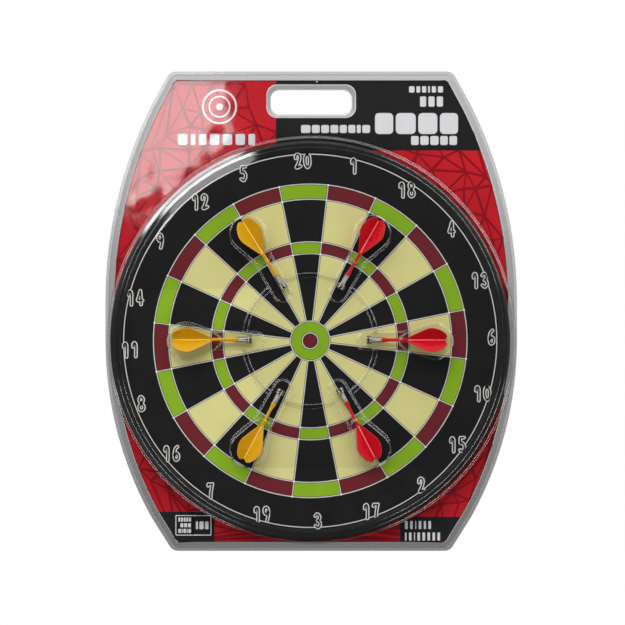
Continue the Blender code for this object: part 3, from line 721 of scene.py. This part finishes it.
def build_card():
    surface = Surface()
    outline = pack_outline(CARD_INSET)
    slot = slot_outline(CARD_FRONT, 1.6 * MM)
    for depth, is_front in ((CARD_FRONT, True), (CARD_BACK, False)):
        surface.flat([outline, slot], depth, 0 if is_front else 4, is_front)
    for loop in (outline, slot):
        surface.rings([[front(x, z, d) for x, z in loop] for d in (CARD_BACK, CARD_FRONT)], 4, False)
    add_line_network(surface)
    ink = CARD_FRONT + 1.5 * LAYER
    print_depth = ink + LAYER
    inside = pack_outline(CARD_INSET + 0.1 * MM)
    block = clip(clip(inside, 0, BLOCK_LEFT, True), 1, BLOCK_BOTTOM, True)
    notch = clip(slot_outline(CARD_FRONT, 1.7 * MM), 0, BLOCK_LEFT, True)
    # The slot is open to the block's left edge, so the block goes round it in three parts.
    top = max(z for _, z in notch)
    bottom = min(z for _, z in notch)
    right = max(x for x, _ in notch)
    surface.flat([clip(block, 1, top, True)], ink, 2)
    surface.flat([clip(block, 1, bottom, False)], ink, 2)
    middle = clip(clip(block, 1, bottom, True), 1, top, False)
    surface.flat([clip(middle, 0, right, True)], ink, 2)
    bend = [p for p in notch if p[0] > BLOCK_LEFT + 1e-6]
    upper_bend = [p for p in bend if p[0] > right - SLOT_CORNER_RADIUS - 2 * MM and p[1] > SLOT_HEIGHT]
    lower_bend = [p for p in bend if p[0] > right - SLOT_CORNER_RADIUS - 2 * MM and p[1] < SLOT_HEIGHT]
    surface.flat([[(right, top)] + sorted(upper_bend, key=lambda p: p[0])], ink, 2)
    surface.flat([[(right, bottom)] + sorted(lower_bend, key=lambda p: p[0])], ink, 2)
    surface.flat([clip(clip(inside, 0, -99.3 * MM, False), 1, -176.0 * MM, False)], ink, 2)
    surface.flat([clip(clip(inside, 0, 91.2 * MM, True), 1, -181.3 * MM, False)], ink, 2)

    for left, right, low, high, widths, gap in WORDS:
        add_words(surface, left * MM, right * MM, low * MM, high * MM, widths, print_depth, gap)
    for radius, width in ((17.0 * MM, 2.0 * MM), (10.5 * MM, 1.6 * MM)):
        ring = circle(radius, 48, SIGN_X, SIGN_Z)
        ribbon(surface, ring, width, print_depth, 3, closed=True)
    surface.flat([circle(3.6 * MM, 24, SIGN_X, SIGN_Z)], print_depth, 3)
    for corners in (
        rectangle(-139.0 * MM, -121.4 * MM, -200.0 * MM, -180.0 * MM),
        rectangle(-121.4 * MM, -103.0 * MM, -200.0 * MM, -180.0 * MM),
    ):
        for a, b in zip(corners, corners[1:] + corners[:1]):
            ribbon(surface, (a, b), 0.9 * MM, print_depth, 3, caps=False)
    surface.flat([circle(0.9 * MM, 12, 5.9 * MM, 265.8 * MM)], print_depth, 3)
    for row, widths in enumerate(((1, 1, 1, 1, 1), (1, 1, 1), (1, 0.4, 1, 0.4, 1))):
        top = (-182.0 - 5.8 * row) * MM
        left = (-134.5 if row == 1 else -136.5) * MM
        add_words(surface, left, -123.5 * MM, top - 4.2 * MM, top, widths, print_depth)
    add_words(surface, -118.5 * MM, -105.5 * MM, -194.0 * MM, -186.0 * MM, (0.5, 1, 0.8), print_depth)
    materials = [CARD_RED, CARD_LINES, CARD_BLACK, CARD_WHITE, CARD_BACK_GREY]
    surface.make("printed_card", materials, "pack_back", ["card"])


# ---------------------------------------------------------------- board

SECTORS = (20, 1, 18, 4, 13, 6, 10, 15, 2, 17, 3, 19, 7, 16, 8, 11, 14, 9, 12, 5)
# Not every printed number is centred in its sector: shifts anticlockwise in degrees, and outwards in mm.
NUMBER_SHIFTS = {
    1: 1.6, 18: 1, 13: -0.8, 6: -1.2, 10: -1.4, 15: -1.6, 2: -0.8, 17: -0.7, 16: 0.7, 11: 0.5, 14: 1.8, 5: 1.4
}
NUMBER_OFFSETS = {12: -3, 16: -1.5, 2: 2, 17: 1, 18: -1, 6: 1}
INNER_BULL, OUTER_BULL = 8.0 * MM, 19.9 * MM
TREBLE, DOUBLE = (88.0 * MM, 100.0 * MM), (143.0 * MM, 158.4 * MM)
NUMBER_LINE, NUMBER_RADIUS = 188.5 * MM, 182.0 * MM
WIRE_WIDTH, WIRE_EDGE = 0.95 * MM, 1.9 * MM

# Each digit is a list of strokes through points on a grid one wide and one high.
DIGITS = {
    "0": [
        [
            (0.5, 1.0), (0.1, 0.8), (0.0, 0.5), (0.1, 0.2), (0.5, 0.0),
            (0.9, 0.2), (1.0, 0.5), (0.9, 0.8), (0.5, 1.0),
        ],
    ],
    "1": [[(0.15, 0.72), (0.2, 0.92), (0.5, 1.0), (0.72, 0.85), (0.7, 0.5), (0.62, 0.0)]],
    "2": [
        [
            (0.05, 0.7), (0.1, 0.9), (0.45, 1.0), (0.85, 0.85), (0.75, 0.55),
            (0.35, 0.2), (0.1, 0.03), (0.5, 0.03), (1.0, 0.12),
        ],
    ],
    "3": [
        [
            (0.05, 0.85), (0.45, 1.0), (0.9, 0.8), (0.75, 0.6), (0.45, 0.52),
            (0.85, 0.42), (0.95, 0.2), (0.5, 0.0), (0.02, 0.15),
        ],
    ],
    "4": [
        [(0.68, 0.0), (0.7, 0.5), (0.66, 1.0)],
        [(0.6, 0.95), (0.3, 0.6), (0.02, 0.3), (0.5, 0.28), (1.0, 0.3)],
    ],
    "5": [
        [(0.95, 1.0), (0.55, 0.98), (0.25, 1.0)],
        [(0.2, 0.95), (0.15, 0.6), (0.55, 0.62), (0.95, 0.35), (0.6, 0.0), (0.02, 0.1)],
    ],
    "6": [
        [
            (0.8, 0.98), (0.35, 0.8), (0.08, 0.35), (0.3, 0.02),
            (0.8, 0.08), (0.92, 0.35), (0.6, 0.5), (0.2, 0.38),
        ],
    ],
    "7": [[(0.05, 0.88), (0.15, 1.0), (0.6, 0.97), (0.95, 1.0)], [(0.88, 0.92), (0.6, 0.45), (0.48, 0.0)]],
    "8": [
        [(0.5, 0.52), (0.85, 0.68), (0.85, 0.88), (0.5, 1.0), (0.15, 0.88), (0.15, 0.68), (0.5, 0.52)],
        [(0.5, 0.48), (0.95, 0.32), (0.9, 0.1), (0.5, 0.0), (0.1, 0.1), (0.05, 0.32), (0.5, 0.48)],
    ],
    "9": [
        [
            (0.85, 0.62), (0.4, 0.5), (0.08, 0.7), (0.25, 0.96),
            (0.7, 0.96), (0.92, 0.7), (0.8, 0.3), (0.55, 0.0),
        ],
    ],
}
DIGIT_WIDTH, DIGIT_HEIGHT, DIGIT_SPACING = 5.0 * MM, 13.8 * MM, 9.4 * MM
STROKE_WIDTH, CORE_WIDTH = 3.7 * MM, 1.5 * MM


def add_number(surface, number, x, z, depth):
    digits = str(number)
    for place, digit in enumerate(digits):
        left = x + (place - (len(digits) - 1) / 2) * DIGIT_SPACING - DIGIT_WIDTH / 2
        for order, stroke in enumerate(DIGITS[digit]):
            path = [(left + u * DIGIT_WIDTH, z + (v - 0.5) * DIGIT_HEIGHT) for u, v in stroke]
            curve = [tuple(p) for p in smooth_through(path, 5)]
            level = depth + order * 0.25 * LAYER
            ribbon(surface, curve, STROKE_WIDTH, level)
            ribbon(surface, curve, CORE_WIDTH, level + LAYER, 1)


def sector_patch(inner, outer, start, end, steps=10):
    arc = [start + (end - start) * i / steps for i in range(steps + 1)]
    return [polar(outer, a) for a in arc] + [polar(inner, a) for a in reversed(arc)]


def build_face():
    base = FACE_FRONT - 4 * LAYER
    field = Surface(on_board)
    field.flat([circle(DISC_RADIUS, 192)], base)
    field.loft(lambda radius: circle(radius, 192), [(DISC_RADIUS, FACE_BACK), (DISC_RADIUS, base)], 0, False)
    field.flat([circle(DISC_RADIUS, 192)], FACE_BACK, 0, False)
    field.make("face_field", [BLACK_INK], "board", ["face_print"])

    zones = Surface(on_board)
    inks = {"cream": 0, "maroon": 1, "green": 2}
    zone_depth = base + LAYER
    step = math.tau / 20
    for k in range(20):
        start, end = math.pi / 2 - (k + 0.5) * step, math.pi / 2 - (k - 0.5) * step
        dark = k % 2 == 0
        for inner, outer in (TREBLE, DOUBLE):
            ink = inks["green" if dark else "maroon"]
            zones.flat([sector_patch(inner, outer, start, end)], zone_depth, ink)
        if not dark:
            for inner, outer in ((OUTER_BULL, TREBLE[0]), (TREBLE[1], DOUBLE[0])):
                zones.flat([sector_patch(inner, outer, start, end)], zone_depth, inks["cream"])
    zones.flat([circle(OUTER_BULL, 64), circle(INNER_BULL, 48)], zone_depth, inks["green"])
    zones.flat([circle(INNER_BULL, 48)], zone_depth, inks["maroon"])
    zones.make("face_zones", [CREAM_INK, MAROON_INK, GREEN_INK], "board", ["face_print"])

    wires = Surface(on_board)
    line_depth = zone_depth + LAYER
    for width, slot, depth in ((WIRE_EDGE, 1, line_depth), (WIRE_WIDTH, 0, line_depth + LAYER)):
        for radius in (INNER_BULL, OUTER_BULL, *TREBLE, *DOUBLE):
            ribbon(wires, circle(radius, 144), width, depth, slot, closed=True)
        for k in range(20):
            angle = math.pi / 2 - (k + 0.5) * step
            spoke = (polar(OUTER_BULL, angle), polar(DOUBLE[1], angle))
            ribbon(wires, spoke, width, depth + 0.3 * LAYER, slot, caps=False)
    for radius in (*TREBLE, *DOUBLE):
        for k in range(20):
            x, z = polar(radius, math.pi / 2 - (k + 0.5) * step)
            wires.flat([circle(0.95 * MM, 10, x, z)], line_depth + 2 * LAYER, 2)
    wires.make("face_wires", [SILVER_INK, BLACK_INK, BRIGHT_INK], "board", ["face_print"])

    numbers = Surface(on_board)
    ribbon(numbers, circle(NUMBER_LINE, 192), 1.0 * MM, line_depth, closed=True)
    for k, number in enumerate(SECTORS):
        radius = NUMBER_RADIUS + NUMBER_OFFSETS.get(number, 0) * MM
        x, z = polar(radius, math.pi / 2 - k * step + math.radians(NUMBER_SHIFTS.get(number, 0)))
        add_number(numbers, number, x, z, line_depth + LAYER)
    numbers.make("face_numbers", [SILVER_INK, BLACK_INK], "board", ["face_print"])


def build_rim():
    """The moulded ring: a rounded nose with fine ridges, a lip over the face and a ledge behind."""
    nose = [(202.5, 24.5), (202.3, 25.8), (201.7, 27.0), (200.8, 27.9), (199.6, 28.5), (198.4, 28.8)]
    ridges = [(197.6, 28.95), (197.0, 29.0), (196.3, 28.9), (195.9, 28.6), (195.5, 28.6), (195.1, 28.85)]
    lip = [(194.4, 28.8), (193.2, 28.6), (192.0, 28.5), (191.2, 28.4), (190.7, 28.2), (190.5, 27.8)]
    inside = [(193.2, 27.8), (193.2, 13.6), (199.8, 13.6), (199.8, 11.0), (202.3, 11.0), (202.5, 11.2)]
    surface = Surface(on_board)
    profile = [(r * MM, d * MM) for r, d in nose + ridges + lip]
    surface.lathe(profile, on_board, 256)
    inner = [(r * MM, d * MM) for r, d in [lip[-1]] + inside]
    surface.lathe(inner, on_board, 256, smooth=False)
    outer = [(202.5 * MM, 11.2 * MM), (202.5 * MM, 24.5 * MM)]
    surface.lathe(outer, on_board, 256)
    surface.make("rim_ring", [BLACK_PLASTIC], "board", ["rim"])


def finish_cad_nodes():
    """Materials for the pieces whose CAD shape is also what shows."""
    finishes = {
        "steel_sheet": ZINC,
        "core_board": FIBREBOARD,
        "back_cover": HARDBOARD,
        "hanger_plate": ZINC,
        "hanger_ring": NICKEL,
        "wall_pad": RUBBER,
        "back_screw": ZINC,
        "hanger_rivet": ZINC,
    }
    for name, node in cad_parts.items():
        for start, material in finishes.items():
            if name.startswith(start):
                for slot in node.material_slots:
                    slot.material = material


# ---------------------------------------------------------------- darts

FIN_EDGE = ((38.5, 1.2), (51.5, 9.2), (64.0, 15.5), (74.6, 12.6), (80.0, 7.0), (79.9, 3.0), (78.6, 0.8))
FIN_SPREAD = math.radians(40)
# Half the thickness in mm at each share of the way from the core to the edge.
FIN_ROWS = (
    (0.0, 0.36), (0.12, 0.34), (0.5, 0.30), (0.86, 0.27),
    (0.93, 0.26), (0.965, 0.20), (0.99, 0.12), (1.0, 0.0),
)


def along(across, height, distance):
    return Vector((distance, across, height))


def dart_matrix(pocket, tip_along, tip_across, turn):
    """Where a dart lies: X from the magnet's face to the tail, Z away from the board."""
    pocket_angle, angle = math.radians(pocket), math.radians(pocket + turn)
    tip = Vector((tip_along, tip_across))
    tip.rotate(Matrix.Rotation(pocket_angle, 2))
    tip_depth = FACE_FRONT + GAP + MAGNET_RADIUS * math.cos(DART_PITCH)
    lie = Matrix(
        (
            (math.cos(angle), -math.sin(angle), 0, BOARD_X + tip.x),
            (0, 0, -1, -tip_depth),
            (math.sin(angle), math.cos(angle), 0, tip.y),
            (0, 0, 0, 1),
        )
    )
    return lie @ Matrix.Rotation(-DART_PITCH, 4, "Y")


def turned(surface, profile, steps=40, slot=0):
    surface.lathe([(r * MM, x * MM) for r, x in profile], along, steps, slot)


def add_fin(surface, spread):
    """One moulded fin: thick at the core, thinner outwards, with a rounded edge."""
    edge = [p * MM for p in smooth_through(FIN_EDGE, 8)]
    root_start, root_end = 38.5 * MM, 78.6 * MM
    rings = []
    for side in (1, -1):
        ordered = FIN_ROWS if side == 1 else FIN_ROWS[-2::-1]
        for share, half in ordered:
            ring = []
            for k, end in enumerate(edge):
                root = Vector((root_start + (root_end - root_start) * k / (len(edge) - 1), 0))
                point = root.lerp(end, share)
                cosine, sine = math.cos(spread), math.sin(spread)
                across, height = point.y, side * half * MM
                ring.append(along(across * cosine - height * sine, across * sine + height * cosine, point.x))
            rings.append(ring)
    surface.rings(rings, 0, True, False)


def build_dart(number, colour, lay):
    body = f"dart_{number}"
    place = dart_matrix(*lay)
    magnet = Surface()
    disc = [(0.01, 0), (2.2, 0.0), (3.8, 0.0), (4.1, 0.08), (4.2, 0.3), (4.2, 2.9), (4.1, 3.15), (0.01, 3.2)]
    turned(magnet, disc)
    magnet.make(f"dart_{number}_magnet", [MAGNET_NICKEL], body, [f"dart_magnet_{number}"], place)

    barrel = Surface()
    cup = [(0.01, 3.5), (4.1, 3.5), (4.2, 3.65), (4.2, 4.8), (4.0, 5.1), (3.5, 5.25)]
    neck = [(2.75, 5.35), (2.6, 5.5), (2.6, 5.9), (2.75, 6.05), (2.9, 6.2)]
    grip = []
    for k in range(7):
        start = 7.2 + k * 1.05
        grip += [(2.9, start), (2.72, start + 0.15), (2.72, start + 0.35), (2.9, start + 0.5)]
    end = [(2.9, 14.9), (2.8, 15.12), (2.6, 15.2), (1.6, 15.2), (1.6, 8.7), (0.01, 8.7)]
    turned(barrel, cup + neck + grip + end)
    barrel.make(f"dart_{number}_barrel", [NICKEL], body, [f"dart_barrel_{number}"], place)

    shaft = Surface()
    spigot = [(0.01, 9.0), (1.3, 9.0), (1.3, 15.5)]
    collar = [(2.5, 15.5), (2.6, 15.7), (2.5, 16.6), (2.3, 18.0), (2.0, 19.6), (1.75, 21.4), (1.6, 23.0)]
    stem = [(1.6, 30.0), (1.6, 39.0), (1.55, 40.5), (1.25, 42.0)]
    core = [(1.25, 42.0), (1.0, 50.0), (0.9, 60.0), (0.85, 76.5), (0.7, 78.2), (0.01, 78.6)]
    turned(shaft, spigot + collar + stem, 32)
    # The core takes slot 1, the lighter colour: a painted highlight along it.
    turned(shaft, core, 24, 1)
    for spread in (FIN_SPREAD, -FIN_SPREAD, math.pi - FIN_SPREAD, math.pi + FIN_SPREAD):
        add_fin(shaft, spread)
    plastics, slot = DART_PLASTIC[colour], f"{colour}_plastic"
    shaft.make(f"dart_{number}_shaft", plastics, body, [f"dart_shaft_{number}"], place)


# ---------------------------------------------------------------- light and camera


# The flat bulge mirrors a round patch of the room, this far below the middle, and glare is kept off it.
# The squares of its radius are where the glare starts and is whole. A glare box is middle, half sizes, strength.
BULGE_DIRECTION, GLARE_START, GLARE_WHOLE = 0.0234, 0.0325, 0.0365
GLARE_BOXES = ((-0.118, 0.145, 0.045, 0.06, 5.0), (-0.148, 0.092, 0.004, 0.010, 3.0))


def build_world():
    """White to the camera; to all else a studio that is bright above and at the sides and dim ahead."""
    world = bpy.data.worlds.new("studio")
    bpy.context.scene.world = world
    world.use_nodes = True
    tree = world.node_tree
    tree.nodes.clear()

    def node(kind, **settings):
        made = tree.nodes.new(kind)
        for name, value in settings.items():
            setattr(made, name, value)
        return made

    def maths(operation, first, second):
        made = node("ShaderNodeMath", operation=operation)
        for socket, value in zip(made.inputs, (first, second)):
            if isinstance(value, (int, float)):
                socket.default_value = value
            else:
                tree.links.new(value, socket)
        return made.outputs["Value"]

    def ramp(value, start, end, low, high):
        made = node("ShaderNodeMapRange", interpolation_type="SMOOTHSTEP")
        for name, number in (("From Min", start), ("From Max", end), ("To Min", low), ("To Max", high)):
            made.inputs[name].default_value = number
        tree.links.new(value, made.inputs["Value"])
        return made.outputs["Result"]

    split = node("ShaderNodeSeparateXYZ")
    tree.links.new(node("ShaderNodeTexCoord").outputs["Generated"], split.inputs["Vector"])
    x, y, z = (split.outputs[axis] for axis in "XYZ")
    # The room by height, dim ahead, and a bright shelf at the sides.
    by_height = maths("ADD", ramp(z, -0.6, 0.1, 0.10, 0.34), ramp(z, 0.1, 0.9, 0.0, 0.9))
    ahead = ramp(y, -0.90, -0.10, 0.03, 1.0)
    beside = maths("MULTIPLY", ramp(y, -0.10, -0.02, 0.0, 1.0), ramp(y, 0.10, 0.20, 1.0, 0.0))
    shelf = maths("MULTIPLY", ramp(z, 0.12, 0.20, 0.0, 2.4), ramp(z, 0.55, 0.65, 1.0, 0.0))
    room = maths("ADD", maths("MULTIPLY", by_height, ahead), maths("MULTIPLY", beside, shelf))

    # Four lamps on the diagonals of a ring round the view.
    wide = maths("MULTIPLY", x, 0.8)
    around = maths("ADD", maths("MULTIPLY", wide, wide), maths("MULTIPLY", z, z))
    corner = maths("ABSOLUTE", maths("MULTIPLY", wide, z), 0.0)
    diagonal = maths("DIVIDE", corner, maths("MAXIMUM", around, 0.001))
    lamps = maths("MULTIPLY", ramp(y, -0.80, -0.74, 0.0, 1.0), ramp(y, -0.56, -0.50, 1.0, 0.0))
    lamps = maths("MULTIPLY", lamps, ramp(diagonal, 0.24, 0.34, 0.0, 2.5))

    towards = maths("MAXIMUM", maths("MULTIPLY", y, -1.0), 0.001)
    across_bulge = maths("POWER", maths("DIVIDE", x, towards), 2.0)
    up_bulge = maths("POWER", maths("ADD", maths("DIVIDE", z, towards), BULGE_DIRECTION), 2.0)
    from_bulge = maths("ADD", across_bulge, up_bulge)
    off_bulge = ramp(from_bulge, GLARE_START, GLARE_WHOLE, 0.0, 1.0)

    def softbox(centre_x, centre_z, half_x, half_z, strength, soft=0.012):
        """A bright patch seen in the direction (x, -1, z), kept off what the bulge mirrors."""
        across = maths("ABSOLUTE", maths("SUBTRACT", maths("DIVIDE", x, towards), centre_x), 0.0)
        up = maths("ABSOLUTE", maths("SUBTRACT", maths("DIVIDE", z, towards), centre_z), 0.0)
        inside_x = ramp(across, half_x, half_x + soft, 1.0, 0.0)
        inside_z = ramp(up, half_z, half_z + soft, 1.0, 0.0)
        inside = maths("MULTIPLY", inside_x, inside_z)
        return maths("MULTIPLY", inside, maths("MULTIPLY", off_bulge, strength))

    total = maths("ADD", room, lamps)
    for box in GLARE_BOXES:
        total = maths("ADD", total, softbox(*box))
    dim = node("ShaderNodeBackground")
    dim.inputs["Color"].default_value = (1.0, 1.0, 1.0, 1.0)
    tree.links.new(total, dim.inputs["Strength"])
    white = node("ShaderNodeBackground")
    white.inputs["Color"].default_value = (1.0, 1.0, 1.0, 1.0)
    white.inputs["Strength"].default_value = 1.0
    mix = node("ShaderNodeMixShader")
    tree.links.new(node("ShaderNodeLightPath").outputs["Is Camera Ray"], mix.inputs["Fac"])
    tree.links.new(dim.outputs["Background"], mix.inputs[1])
    tree.links.new(white.outputs["Background"], mix.inputs[2])
    tree.links.new(mix.outputs["Shader"], node("ShaderNodeOutputWorld").inputs["Surface"])


def add_area_light(name, location, size, power, target=(0.0, 0.0, 0.02)):
    data = bpy.data.lights.new(name, "AREA")
    data.shape = "RECTANGLE"
    data.size, data.size_y = size
    data.energy = power
    light = bpy.data.objects.new(name, data)
    light.location = location
    light.rotation_euler = (Vector(target) - Vector(location)).to_track_quat("-Z", "Y").to_euler()
    light.visible_glossy = False
    bpy.context.scene.collection.objects.link(light)


def build_camera():
    camera = bpy.data.objects.new("camera", bpy.data.cameras.new("camera"))
    camera.data.sensor_width, camera.data.lens = 36.0, 68.43
    camera.location = (0.0013, -1.2275, 0.0286)
    camera.rotation_euler = (math.pi / 2, 0.0, 0.0)
    bpy.context.scene.collection.objects.link(camera)
    bpy.context.scene.camera = camera


build_blister_back()
build_card()
build_rim()
build_face()
finish_cad_nodes()
for index, (dart_colour, *dart_lay) in enumerate(DARTS, start=1):
    build_dart(index, dart_colour, dart_lay)
build_blister_front()
build_world()
add_area_light("key", (-0.3, -1.9, 1.7), (1.4, 1.0), 34.0)
add_area_light("rear", (0.3, 1.8, 1.2), (1.6, 1.2), 45.0)
build_camera()
bpy.context.scene.view_settings.view_transform = "Standard"
